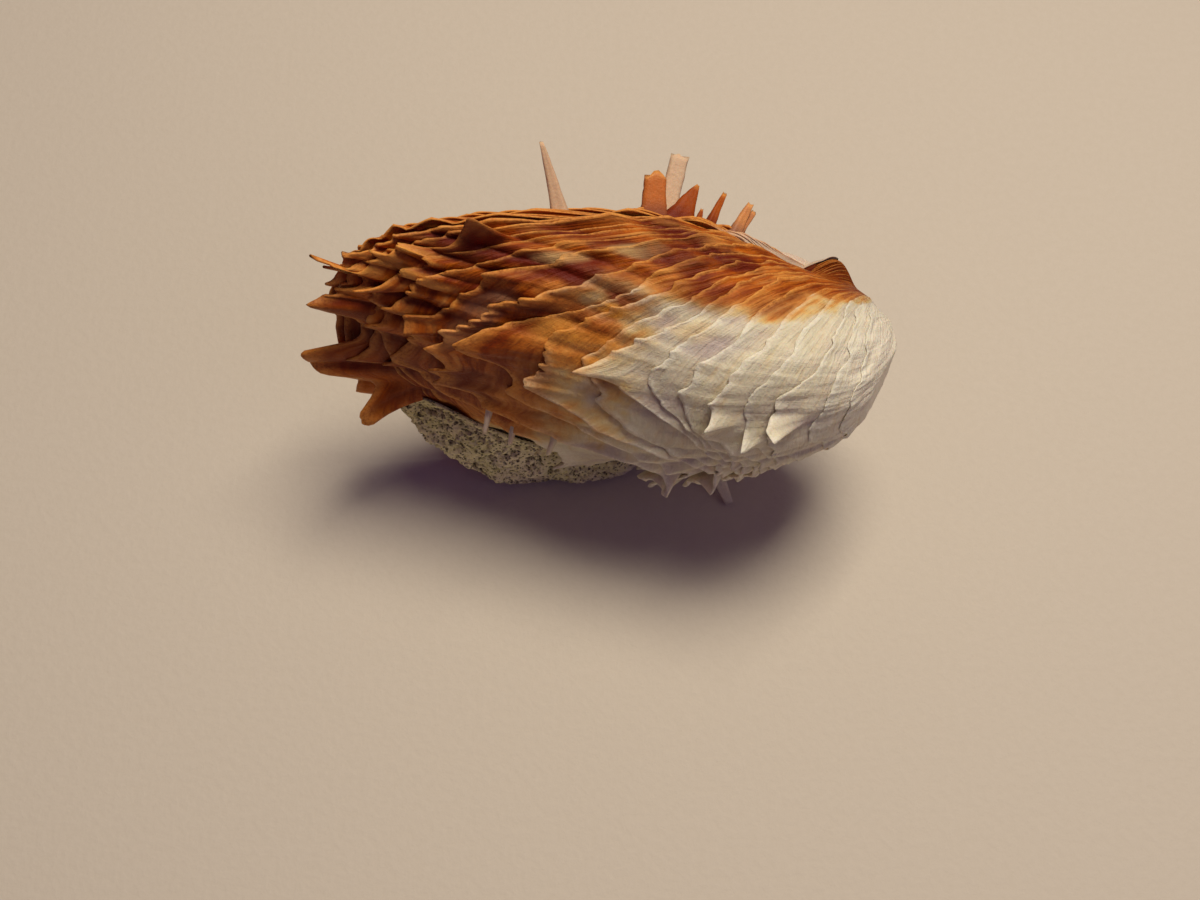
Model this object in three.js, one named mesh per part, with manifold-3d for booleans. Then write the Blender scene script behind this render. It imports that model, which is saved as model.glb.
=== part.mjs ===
// A closed spiny oyster shell, lying on its side with a scrap of coral still attached.
// The two valves are each one shell of the same kind: a family of growth loops, one inside
// the next, that starts at the beak and ends at the margin where the valves meet.
import * as THREE from "three";
import { mergeVertices } from "three/addons/utils/BufferGeometryUtils.js";
import Module from "manifold-3d";

const wasm = await Module();
wasm.setup();

// Driving dimensions, in millimetres, in the shell's own frame: +X runs from the ventral
// margin to the hinge, +Y from the front flank to the back flank, +Z from the lower valve
// to the upper one. A profile is a list of [x, z] points of the shell's middle plane.
const GAP = 0.35;                 // between the two margins
const HINGE = [28.7, 4.2];        // middle of the hinge line
const VENTRAL = [-31.7, -1.0];    // middle of the ventral margin
const LOOP_ARC = 155 * THREE.MathUtils.DEG2RAD;  // half of the arc that a growth loop covers
const CORNER = { back: 1, young: 0.82, old: 0.5 };   // 1 is a round corner, less a squarer one
const HINGE_TAPER = { front: 0.38, back: 0.22 };     // how much a loop narrows at the hinge
const EAR = 3.4;                  // how far the front ear stands out at the end of the hinge
const NOTCH = { place: -0.86, width: 0.07, depth: 3.2, drop: 0.7 };   // beside the ear

const LOWER = {
  side: -1,
  ventral: [[35, 2], [36.1, -1.8], [34.7, -7.7], [29.9, -13.4], [22.6, -16.1], [13.3, -16.1],
    [3.6, -14.2], [-6.5, -10.6], [-16.8, -6.6], [-24.7, -3.8], VENTRAL],
  dorsal: [[35, 2.3], [33.4, 3], [31.2, 3.6], HINGE],
  frontWidth: [0.5, 0.35],        // half width over length of a loop: when young, at the end
  backWidth: [0.56, 0.5],
  ribs: 22,
  stages: [0.3, 0.38, 0.46, 0.53, 0.6, 0.66, 0.72, 0.775, 0.825, 0.87, 0.915, 0.955, 0.988],
  frill: [0.5, 2.6],              // height of the lamellae: near the beak, near the margin
  skirt: 2,                       // how much higher they are low on the back flank
  lean: 0.75,                     // how far they lean towards the margin
  firstLoop: 0.04,
  lastInnerLoop: 0.55,
  innerScale: [0.8, 0.94],        // size of the hollow in each loop: deepest, at the rim
};
const UPPER = {
  side: 1,
  ventral: [[27, 7], [26.6, 9.8], [22.8, 11.2], [17.1, 11.2], [10.1, 10.8], [1.3, 9.9],
    [-8.8, 8.5], [-18.8, 5.9], [-26.7, 2.7], [VENTRAL[0], VENTRAL[1] + GAP]],
  dorsal: [[26.8, 6.2], [HINGE[0], HINGE[1] + GAP]],
  frontWidth: [0.37, 0.35],
  backWidth: [0.56, 0.5],
  ribs: 16,
  stages: [0.34, 0.5, 0.63, 0.74, 0.84, 0.92, 0.988],
  frill: [0.5, 1.1],
  skirt: 0,
  lean: 0.4,
  firstLoop: 0.06,
  lastInnerLoop: 0.45,
  innerScale: [0.8, 0.94],
};
const UNDERCUT = 0.012;           // from a lamella's edge back to the next one's foot
const SKIRT = { place: 0.38, width: 0.18 };   // the stretch of the back flank with higher lamellae
const VALLEY = 0.4;               // height of a lamella between two ribs, over its height on a rib

// Spines: where each one stands (growth stage, place along the loop from -1 at the front
// end of the hinge to 1 at the back end), how far it reaches in millimetres outwards, towards
// the margin and along the loop, and its width, thickness and how blunt its tip is.
const LOWER_SPINES = [
  // the ventral margin: a thin spine, a dark one, a broad scoop and a strap
  { at: [0.942, -0.19], reach: [2.6, 8.5, -1.6], width: 2.8, thickness: 1.2, blunt: 0.15 },
  { at: [0.942, -0.09], reach: [4.4, 6.1, -0.8], width: 3.8, thickness: 1.4, blunt: 0.3 },
  { at: [0.942, 0.03], reach: [4.3, 7, -1.9], width: 7, thickness: 1.8, blunt: 0.85 },
  { at: [0.942, 0.11], reach: [5.8, 2.3, 1.2], width: 3.6, thickness: 1.5, blunt: 0.7 },
  // squared frills at the front corner of the margin, and a crest
  { at: [0.942, -0.26], reach: [1.5, 4.2, -2], width: 4, thickness: 1.4, blunt: 0.7 },
  { at: [0.942, -0.32], reach: [2.4, 3.4, -2.2], width: 4, thickness: 1.4, blunt: 0.7 },
  { at: [0.942, -0.46], reach: [5.6, 3.6, -2.6], width: 4.6, thickness: 1.6, blunt: 0.4 },
  // the front flank
  { at: [0.923, -0.19], reach: [3.1, 3.5, 0.5], width: 3, thickness: 1.2 },
  { at: [0.923, 0.01], reach: [2.4, 4.2, -0.1], width: 2.4, thickness: 1.2 },
  { at: [0.942, -0.35], reach: [1.6, 3.8, -1], width: 3, thickness: 1.2 },
  { at: [0.865, -0.29], reach: [1.8, 3.4, -0.3], width: 3.2, thickness: 1.2 },
  { at: [0.827, -0.36], reach: [2.3, 2.8, 0.1], width: 3.2, thickness: 1.2 },
  { at: [0.846, -0.11], reach: [2.5, 2.5, 0.4], width: 3, thickness: 1.2 },
  { at: [0.808, 0.01], reach: [1.8, 2.4, 0.1], width: 3.4, thickness: 1.2 },
  { at: [0.769, -0.16], reach: [3.8, 4.1, 0], width: 5, thickness: 1.6, blunt: 0.6 },
  { at: [0.75, 0.06], reach: [1.4, 2.7, -0.3], width: 3.4, thickness: 1.2 },
  { at: [0.654, -0.21], reach: [2.7, 2.7, 0.8], width: 2.8, thickness: 1.2 },
  // the white underside near the beak
  { at: [0.423, -0.11], reach: [3, 0.9, 0.1], width: 2.4, thickness: 1.2 },
  { at: [0.462, -0.04], reach: [2.5, 0.4, 0], width: 2.4, thickness: 1.2 },
  { at: [0.5, -0.11], reach: [2.4, 1.4, -0.2], width: 3.4, thickness: 1.2 },
  { at: [0.519, 0.28], reach: [3.6, 0.7, 0.4], width: 2.8, thickness: 1.3 },
  { at: [0.577, 0.28], reach: [4.3, 1, 0.4], width: 2.8, thickness: 1.3 },
  // a foot on the back flank that the shell stands on
  { at: [0.8, 0.66], reach: [12.1, 0.3, 0.5], width: 2.8, thickness: 1.8, blunt: 0.4 },
];
const UPPER_SPINES = [
  // the long ones that stand up past the front flank
  { at: [0.865, -0.53], reach: [8.2, 2.9, -0.4], width: 1.7, thickness: 1.4, blunt: 0.25 },
  { at: [0.808, -0.62], reach: [7.3, -0.6, -0.5], width: 2.3, thickness: 1.3, blunt: 0.95 },
  { at: [0.846, -0.62], reach: [4.7, 0.4, 0.7], width: 3.6, thickness: 1.5, blunt: 0.8 },
  { at: [0.827, -0.66], reach: [4, -0.2, 0], width: 3.4, thickness: 1.5, blunt: 0.12 },
  { at: [0.808, -0.7], reach: [4, 0, 0], width: 1.5, thickness: 1.2, blunt: 0.3 },
  { at: [0.75, -0.73], reach: [3.5, -0.3, -0.1], width: 2, thickness: 1.2, blunt: 0.5 },
  // two feet on the back flank that the shell stands on
  { at: [0.88, 0.45], reach: [7.4, 2, -1.7], width: 2.6, thickness: 1.8, blunt: 0.4 },
  { at: [0.8, 0.65], reach: [8.9, 3.4, 0.7], width: 2.6, thickness: 1.8, blunt: 0.4 },
];
const BACK_SPINES = { places: [0.2, 0.36, 0.54, 0.72], stages: [0.55, 0.68, 0.8], length: 5 };
for (const [i, place] of BACK_SPINES.places.entries()) {
  for (const [k, stage] of BACK_SPINES.stages.entries()) {
    const length = BACK_SPINES.length + 1.2 * Math.sin(5 * i + 2 * k);
    UPPER_SPINES.push({ at: [stage - 0.03 * (i % 2), place], reach: [length, 2, 0.3],
      width: 2.2, thickness: 1.4, blunt: 0.3 });
  }
}

// Coral remnant: a lens that covers an oval patch of the lower valve.
const CORAL = {
  stage: 0.89,
  place: 0.37,
  stageSpan: 0.09,
  placeSpan: 0.25,
  height: 5,
  hang: 0.42,                     // how much thicker it is on its lower side
  ahead: 0.35,                    // and on the side of the margin
  lean: 0.3,                      // how far its crown leans towards the margin
};
const CORAL_CLEARANCE = 0.32;     // over the wall of the valve

// Flat scar near the beak, where the lower valve was cemented to the rock.
const SCAR = { at: [0.2, 0.02], depth: 0.6, across: 16, cut: 4 };

const LIGAMENT = { radius: 0.62, length: 6.5, out: 0.95, up: 0.95 };

// How the shell lies: its own frame turned back about X, so that the back flank is below.
const LEAN_BACK = -96 * THREE.MathUtils.DEG2RAD;

// ---------------------------------------------------------------- growth loops

function profile(points) {
  const list = points.map(([x, z]) => new THREE.Vector3(x, 0, z));
  return new THREE.CatmullRomCurve3(list, false, "catmullrom", 0.5);
}
for (const valve of [LOWER, UPPER]) {
  valve.ventralCurve = profile(valve.ventral);
  valve.dorsalCurve = profile(valve.dorsal);
}

// A loop's outline: how far from the hinge (0) to the ventral end (1), and how far sideways.
function outline(stage, place) {
  const angle = place * LOOP_ARC;
  const back = -Math.cos(LOOP_ARC) / (1 - Math.cos(LOOP_ARC));
  let along = Math.cos(angle);
  let across = Math.abs(Math.sin(angle));
  if (along > 0) {
    const age = THREE.MathUtils.clamp((stage - 0.75) / 0.25, 0, 1);
    const power = place < 0 ? THREE.MathUtils.lerp(CORNER.young, CORNER.old, age) : CORNER.back;
    along = along ** power;
    across = across ** power;
  }
  const start = 50 * THREE.MathUtils.DEG2RAD;
  const taper = THREE.MathUtils.clamp((Math.abs(angle) - start) / (LOOP_ARC - start), 0, 1);
  across *= 1 - (place < 0 ? HINGE_TAPER.front : HINGE_TAPER.back) * taper * taper;
  return [back + (1 - back) * along, across * Math.sign(place)];
}

function widthOf(valve, stage, place) {
  const [young, old] = place < 0 ? valve.frontWidth : valve.backWidth;
  return THREE.MathUtils.lerp(young, old, THREE.MathUtils.clamp((stage - 0.4) / 0.6, 0, 1));
}

function notchAt(place) {
  return Math.exp(-(((place - NOTCH.place) / NOTCH.width) ** 2));
}

function loopPoint(valve, stage, place) {
  const from = valve.dorsalCurve.getPoint(stage);
  const chord = valve.ventralCurve.getPoint(stage).sub(from);
  const [along, across] = outline(stage, place);
  const point = from.addScaledVector(chord, along);
  const age = THREE.MathUtils.smoothstep(stage, 0.6, 1);
  const notch = age * notchAt(place);
  const ear = age * THREE.MathUtils.smoothstep(-place, 0.9, 1);
  point.y = widthOf(valve, stage, place) * chord.length() * across - EAR * ear + NOTCH.depth * notch;
  point.z -= NOTCH.drop * notch;
  return point;
}

// Directions at a point of the face: outwards, towards the margin and along the loop.
function frameAt(valve, stage, place) {
  const d = 0.004;
  const late = Math.min(stage + d, 1);
  const right = Math.min(place + d, 1);
  const point = loopPoint(valve, stage, place);
  const growth = loopPoint(valve, late, place).sub(loopPoint(valve, late - 2 * d, place)).normalize();
  const along = loopPoint(valve, stage, right).sub(loopPoint(valve, stage, right - 2 * d)).normalize();
  const out = growth.clone().cross(along).multiplyScalar(-valve.side).normalize();
  return { point, out, growth, along };
}

// ---------------------------------------------------------------- lamellae

function coralCover(stage, place) {
  const a = (stage - CORAL.stage) / CORAL.stageSpan;
  const b = (place - CORAL.place) / CORAL.placeSpan;
  return Math.hypot(a, b);
}

function frillHeight(valve, stage, place, onRib) {
  const [young, old] = valve.frill;
  const size = THREE.MathUtils.lerp(young, old, THREE.MathUtils.smoothstep(stage, 0.25, 0.85));
  const ends = (1 - Math.abs(place) ** 5) * (1 - notchAt(place));
  const low = Math.exp(-(((place - SKIRT.place) / SKIRT.width) ** 2));
  const skirt = valve.skirt * low * THREE.MathUtils.smoothstep(stage, 0.38, 0.55);
  const bare = valve === LOWER ? THREE.MathUtils.smoothstep(coralCover(stage, place), 1.2, 1.6) : 1;
  return (size + skirt) * ends * bare * (onRib ? 1 : VALLEY);
}

function facePoint(valve, stage, place, onRib, raised) {
  const { point, out, growth } = frameAt(valve, stage, place);
  if (!raised) return point;
  const height = frillHeight(valve, stage, place, onRib);
  const lean = stage > 0.94 ? 0 : valve.lean;
  return point.addScaledVector(out, height).addScaledVector(growth, height * lean);
}

// ---------------------------------------------------------------- closed meshes

const HINGE_STEPS = 2;

// One closed ring of points: the loop, then the straight hinge line back to its start.
function ring(valve, stage, raised) {
  const steps = valve.ribs * 2;
  const points = [];
  for (let i = 0; i <= steps; i++) {
    points.push(facePoint(valve, stage, -1 + 2 * i / steps, i % 2 === 1, raised));
  }
  return closeAtHinge(points);
}

function closeAtHinge(points) {
  const first = points[0];
  const last = points[points.length - 1];
  for (let i = 1; i <= HINGE_STEPS; i++) {
    points.push(last.clone().lerp(first, i / (HINGE_STEPS + 1)));
  }
  return points;
}

function innerRing(valve, stage) {
  const [deep, rim] = valve.innerScale;
  const part = (stage - valve.lastInnerLoop) / (1 - valve.lastInnerLoop);
  const scale = THREE.MathUtils.lerp(deep, rim, part);
  const centre = valve.dorsalCurve.getPoint(stage).lerp(valve.ventralCurve.getPoint(stage), 0.5);
  return ring(valve, stage, false).map((p) => p.sub(centre).multiplyScalar(scale).add(centre));
}

// A skin over rings of equal length, closed at both ends, with its faces turned outwards.
function skin(rings) {
  const count = rings[0].length;
  const points = rings.flat();
  const faces = [];
  for (let r = 0; r + 1 < rings.length; r++) {
    for (let i = 0; i < count; i++) {
      const a = r * count + i;
      const b = r * count + (i + 1) % count;
      faces.push([a, b, b + count], [a, b + count, a + count]);
    }
  }
  for (const r of [0, rings.length - 1]) {
    const middle = points.length;
    const sum = new THREE.Vector3();
    rings[r].forEach((p) => sum.add(p));
    points.push(sum.divideScalar(count));
    for (let i = 0; i < count; i++) {
      const a = r * count + i;
      const b = r * count + (i + 1) % count;
      faces.push(r === 0 ? [middle, b, a] : [middle, a, b]);
    }
  }
  return outwards(points, faces);
}

function outwards(points, faces) {
  let volume = 0;
  for (const [a, b, c] of faces) {
    volume += points[a].dot(points[b].clone().cross(points[c]));
  }
  const index = faces.flatMap(([a, b, c]) => (volume < 0 ? [a, c, b] : [a, b, c]));
  const geometry = new THREE.BufferGeometry().setFromPoints(points);
  geometry.setIndex(index);
  return geometry;
}

function toSolid(geometry) {
  const bare = geometry.clone();
  bare.deleteAttribute("normal");
  bare.deleteAttribute("uv");
  const merged = mergeVertices(bare, 1e-4);
  return new wasm.Manifold(new wasm.Mesh({
    numProp: 3,
    vertProperties: new Float32Array(merged.attributes.position.array),
    triVerts: new Uint32Array(merged.index.array),
  }));
}

function toGeometry(solid) {
  const mesh = solid.getMesh();
  const geometry = new THREE.BufferGeometry();
  geometry.setAttribute("position", new THREE.BufferAttribute(mesh.vertProperties, 3));
  geometry.setIndex(new THREE.BufferAttribute(mesh.triVerts, 1));
  return geometry;
}

// ---------------------------------------------------------------- spines

const SPINE_SIDES = 6;
const SPINE_ROOT = 1.1;           // how deep a spine is rooted in the wall

function spineGeometry(valve, { at, reach, width, thickness, blunt = 0.12 }) {
  const { point, out, growth, along } = frameAt(valve, ...at);
  const way = new THREE.Vector3();
  way.addScaledVector(out, reach[0]).addScaledVector(growth, reach[1]).addScaledVector(along, reach[2]);
  const root = point.clone().addScaledVector(out, -SPINE_ROOT);
  const middle = point.clone().addScaledVector(way, 0.5).addScaledVector(out, reach[0] * 0.06);
  const path = new THREE.QuadraticBezierCurve3(root, middle, point.clone().add(way));
  const flat = along.clone().addScaledVector(way, -along.dot(way) / way.lengthSq()).normalize();
  const thin = flat.clone().cross(way).normalize();
  const rings = [0, 0.3, 0.65, 1].map((s) => {
    const size = THREE.MathUtils.lerp(1, blunt, s ** 1.4);
    return Array.from({ length: SPINE_SIDES }, (_, i) => {
      const angle = 2 * Math.PI * i / SPINE_SIDES;
      return path.getPoint(s)
        .addScaledVector(flat, Math.cos(angle) * width / 2 * size)
        .addScaledVector(thin, Math.sin(angle) * thickness / 2 * Math.max(size, 0.3));
    });
  });
  return skin(rings);
}

// ---------------------------------------------------------------- pieces

function valveRings(valve) {
  const rings = [ring(valve, valve.firstLoop, false), ring(valve, 0.12, false), ring(valve, 0.21, false)];
  for (const stage of valve.stages) {
    rings.push(ring(valve, stage, true), ring(valve, stage + UNDERCUT, false));
  }
  for (let i = 0; i <= 4; i++) {
    rings.push(innerRing(valve, THREE.MathUtils.lerp(1, valve.lastInnerLoop, i / 4)));
  }
  return rings;
}

function valveSolid(valve, spines) {
  const roots = spines.map((spine) => toSolid(spineGeometry(valve, spine)));
  return roots.reduce((whole, spine) => whole.add(spine), toSolid(skin(valveRings(valve))));
}

function scarCutter() {
  const { point, out, along } = frameAt(LOWER, ...SCAR.at);
  const third = out.clone().cross(along);
  const turn = new THREE.Matrix4().makeBasis(along, third, out);
  turn.setPosition(point.addScaledVector(out, SCAR.cut / 2 - SCAR.depth));
  return toSolid(new THREE.BoxGeometry(SCAR.across, SCAR.across, SCAR.cut).applyMatrix4(turn));
}

function coralSolid() {
  const rounds = 7;
  const steps = 26;
  const cover = (height) => (r, angle) => {
    const stage = CORAL.stage + CORAL.stageSpan * r * Math.cos(angle);
    const place = CORAL.place + CORAL.placeSpan * r * Math.sin(angle);
    const { point, out, growth } = frameAt(LOWER, stage, place);
    const lift = height(r, angle);
    return point.addScaledVector(out, lift)
      .addScaledVector(growth, (lift - CORAL_CLEARANCE) * CORAL.lean);
  };
  const lumps = (r, angle) => 1 + 0.12 * Math.sin(3 * angle + 1) * r + 0.1 * Math.sin(5 * angle) * r;
  const bulge = (r, angle) => 1 + r * (CORAL.hang * Math.sin(angle) + CORAL.ahead * Math.cos(angle));
  const dome = (r) => CORAL.height * Math.sqrt(1 - r ** 4);
  const top = cover((r, angle) => CORAL_CLEARANCE + dome(r) * bulge(r, angle) * lumps(r, angle));
  const bottom = cover(() => CORAL_CLEARANCE);
  const rings = [];
  const turn = 2 * Math.PI / steps;
  const around = (surface, r) => Array.from({ length: steps }, (_, i) => surface(r, i * turn));
  for (let i = 1; i <= rounds; i++) rings.push(around(top, i / rounds * 0.98));
  for (let i = rounds; i >= 1; i--) rings.push(around(bottom, i / rounds));
  return skin(rings);
}

function ligamentGeometry() {
  const geometry = new THREE.CapsuleGeometry(LIGAMENT.radius, LIGAMENT.length, 3, 8);
  geometry.translate(HINGE[0] + LIGAMENT.out, 0, HINGE[1] + GAP / 2 + LIGAMENT.up);
  return geometry;
}

// ---------------------------------------------------------------- assembly

function piece(name, geometry, color, roughness) {
  geometry.computeVertexNormals();
  const material = new THREE.MeshStandardMaterial({ color, roughness, metalness: 0 });
  const mesh = new THREE.Mesh(geometry, material);
  mesh.name = name;
  return mesh;
}

const shell = new THREE.Group();
const lowerValve = valveSolid(LOWER, LOWER_SPINES).subtract(scarCutter());
shell.add(piece("lower_valve", toGeometry(lowerValve), 0xb9774a, 0.6));
shell.add(piece("upper_valve", toGeometry(valveSolid(UPPER, UPPER_SPINES)), 0xc98f6e, 0.6));
shell.add(piece("coral_remnant", coralSolid(), 0xc9c19a, 0.95));
shell.add(piece("ligament", ligamentGeometry(), 0x3a2418, 0.7));
shell.rotation.x = LEAN_BACK;

shell.updateMatrixWorld(true);

// The object's origin is under the middle of its box, on the surface it rests on.
const oyster = new THREE.Group();
const box = new THREE.Box3().setFromObject(shell, true);
const middle = box.getCenter(new THREE.Vector3());
shell.position.set(-middle.x, -middle.y, -box.min.z);
oyster.add(shell);

export default oyster;
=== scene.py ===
import math

import bpy
import numpy as np
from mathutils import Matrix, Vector, noise


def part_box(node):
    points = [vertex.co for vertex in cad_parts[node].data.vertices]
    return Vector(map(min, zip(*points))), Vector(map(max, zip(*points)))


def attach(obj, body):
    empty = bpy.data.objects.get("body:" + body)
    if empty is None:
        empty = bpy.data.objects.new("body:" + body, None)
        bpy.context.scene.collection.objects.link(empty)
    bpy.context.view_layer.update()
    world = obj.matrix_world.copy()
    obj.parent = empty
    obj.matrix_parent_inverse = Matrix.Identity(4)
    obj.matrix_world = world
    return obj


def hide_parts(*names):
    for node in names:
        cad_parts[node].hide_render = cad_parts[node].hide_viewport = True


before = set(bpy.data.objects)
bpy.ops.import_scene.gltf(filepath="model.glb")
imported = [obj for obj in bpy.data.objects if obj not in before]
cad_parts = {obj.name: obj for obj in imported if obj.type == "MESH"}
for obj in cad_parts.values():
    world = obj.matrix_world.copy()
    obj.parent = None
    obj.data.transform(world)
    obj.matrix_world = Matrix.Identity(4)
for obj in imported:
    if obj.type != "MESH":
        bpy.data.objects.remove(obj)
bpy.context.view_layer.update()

# ------------------------------------------------------------ driving dimensions, in mm
# The shell's own frame: +X from the ventral margin to the hinge, +Y from the front flank to
# the back flank, +Z from the lower valve to the upper one.
MM = 0.001
GAP = 0.35
HINGE = (28.7, 4.2)
VENTRAL = (-31.7, -1.0)
LOOP_ARC = math.radians(155)
TAPER_START = math.radians(50)
TAPER_FRONT, TAPER_BACK = 0.38, 0.22       # how much a loop narrows at the hinge
CORNER_YOUNG, CORNER_OLD = 0.82, 0.5      # front corner of a loop: 1 is round, less is squarer
EAR = 3.4                                 # how far the front ear stands out
NOTCH_PLACE, NOTCH_WIDTH, NOTCH_DEPTH, NOTCH_DROP = -0.86, 0.07, 3.2, 0.7
LIGAMENT_AT = (29.65, 0.0, 5.325)         # middle of the ligament in the shell's own frame
LEAN_BACK = math.radians(-96)


def lerp(a, b, s):
    return a + (b - a) * s


def ease(x, low, high):
    s = np.clip((x - low) / (high - low), 0, 1)
    return s * s * (3 - 2 * s)


def bell(x, centre, width):
    return np.exp(-((x - centre) / width) ** 2)


# ------------------------------------------------------------ noise

LATTICE_SIZE = 256
LATTICE = np.random.default_rng(20).uniform(-1, 1, (LATTICE_SIZE, LATTICE_SIZE))


def lattice_value(i, j):
    return LATTICE[i % LATTICE_SIZE, j % LATTICE_SIZE]


def rough(x, y, seed=0):
    """Smooth random values between -1 and 1 over a plane, one lattice point per unit."""
    x, y = np.broadcast_arrays(np.asarray(x, float), np.asarray(y, float))
    ix, iy = np.floor(x).astype(int), np.floor(y).astype(int)
    fx, fy = x - ix, y - iy
    fx, fy = fx * fx * (3 - 2 * fx), fy * fy * (3 - 2 * fy)
    ix, iy = ix + 37 * seed, iy + 91 * seed
    low = lerp(lattice_value(ix, iy), lattice_value(ix + 1, iy), fx)
    high = lerp(lattice_value(ix, iy + 1), lattice_value(ix + 1, iy + 1), fx)
    return lerp(low, high, fy)


def rougher(x, y, seed=0):
    """Three octaves of rough()."""
    octaves = rough(x, y, seed) + 0.5 * rough(2 * x, 2 * y, seed + 1)
    return (octaves + 0.25 * rough(4 * x, 4 * y, seed + 2)) / 1.4


# ------------------------------------------------------------ the shell's own frame

def turned(points):
    """Points turned from the shell's own frame to how it lies."""
    x, y, z = np.moveaxis(np.asarray(points, float), -1, 0)
    c, s = math.cos(LEAN_BACK), math.sin(LEAN_BACK)
    return np.stack([x, y * c - z * s, y * s + z * c], -1)


LOW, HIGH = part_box("ligament")
ORIGIN = np.array((LOW + HIGH) / 2) / MM - turned(LIGAMENT_AT)


def to_world(points):
    return (turned(points) + ORIGIN) * MM


def catmull(points, t):
    """The Catmull-Rom curve through [x, z] points, at t from 0 to 1."""
    p = np.array(points, float)
    p = np.vstack([2 * p[0] - p[1], p, 2 * p[-1] - p[-2]])
    at = np.clip(t, 0, 1) * (len(points) - 1)
    i = np.minimum(np.floor(at).astype(int), len(points) - 2)
    w = (at - i)[..., None]
    a, b, c, d = p[i], p[i + 1], p[i + 2], p[i + 3]
    return b + 0.5 * w * (c - a + w * (2 * a - 5 * b + 4 * c - d + w * (3 * (b - c) + d - a)))


def unit(v):
    return v / np.maximum(np.linalg.norm(v, axis=-1, keepdims=True), 1e-9)


def notch_at(place):
    return bell(place, NOTCH_PLACE, NOTCH_WIDTH)


class Valve:
    """One valve's smooth face.

    Its points go by growth stage, from 0 at the beak to 1 at the margin, and by place along
    the growth loop, from -1 at the front end of the hinge to 1 at the back end.
    """

    def __init__(self, side, ventral, dorsal, front_width, back_width):
        self.side, self.ventral, self.dorsal = side, ventral, dorsal
        self.front_width, self.back_width = front_width, back_width

    def point(self, stage, place):
        stage, place = np.broadcast_arrays(np.asarray(stage, float), np.asarray(place, float))
        start = catmull(self.dorsal, stage)
        chord = catmull(self.ventral, stage) - start
        angle = np.abs(place) * LOOP_ARC
        age = np.clip((stage - 0.75) / 0.25, 0, 1)
        power = np.where(place < 0, lerp(CORNER_YOUNG, CORNER_OLD, age), 1.0)
        along, across = np.cos(angle), np.sin(angle)
        ahead = along > 0
        along = np.where(ahead, np.abs(along) ** power, along)
        across = np.where(ahead, across ** power, across)
        taper = np.clip((angle - TAPER_START) / (LOOP_ARC - TAPER_START), 0, 1)
        narrow = np.where(place < 0, TAPER_FRONT, TAPER_BACK)
        across = across * (1 - narrow * taper ** 2) * np.sign(place)
        back = -math.cos(LOOP_ARC) / (1 - math.cos(LOOP_ARC))
        along = back + (1 - back) * along
        young = np.where(place < 0, self.front_width[0], self.back_width[0])
        old = np.where(place < 0, self.front_width[1], self.back_width[1])
        width = lerp(young, old, np.clip((stage - 0.4) / 0.6, 0, 1))
        xz = start + chord * along[..., None]
        old_part = ease(stage, 0.6, 1)
        notch = old_part * notch_at(place)
        ear = old_part * ease(-place, 0.9, 1)
        y = width * np.linalg.norm(chord, axis=-1) * across - EAR * ear + NOTCH_DEPTH * notch
        return np.stack([xz[..., 0], y, xz[..., 1] - NOTCH_DROP * notch], -1)

    def frame(self, stage, place):
        """The point, and the directions outwards, towards the margin and along the loop."""
        d = 0.004
        stage, place = np.broadcast_arrays(np.asarray(stage, float), np.asarray(place, float))
        late, right = np.minimum(stage + d, 1), np.minimum(place + d, 1)
        growth = unit(self.point(late, place) - self.point(late - 2 * d, place))
        along = unit(self.point(stage, right) - self.point(stage, right - 2 * d))
        out = unit(np.cross(growth, along)) * -self.side
        return self.point(stage, place), out, growth, along

    def reach(self, at, reach):
        """Where a spine that stands at (stage, place) ends."""
        point, out, growth, along = self.frame(*at)
        return point + out * reach[0] + growth * reach[1] + along * reach[2]


LOWER = Valve(
    -1,
    [(35, 2), (36.1, -1.8), (34.7, -7.7), (29.9, -13.4), (22.6, -16.1), (13.3, -16.1),
     (3.6, -14.2), (-6.5, -10.6), (-16.8, -6.6), (-24.7, -3.8), VENTRAL],
    [(35, 2.3), (33.4, 3), (31.2, 3.6), HINGE], (0.5, 0.35), (0.56, 0.5))
UPPER = Valve(
    1,
    [(27, 7), (26.6, 9.8), (22.8, 11.2), (17.1, 11.2), (10.1, 10.8), (1.3, 9.9),
     (-8.8, 8.5), (-18.8, 5.9), (-26.7, 2.7), (VENTRAL[0], VENTRAL[1] + GAP)],
    [(26.8, 6.2), (HINGE[0], HINGE[1] + GAP)], (0.37, 0.35), (0.56, 0.5))

# ------------------------------------------------------------ spines
# Each: (growth stage, place), (reach outwards, towards the margin, along the loop) and width at
# the root in mm, and bluntness of the tip, from 0 pointed to 1 as broad as the root.

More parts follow.
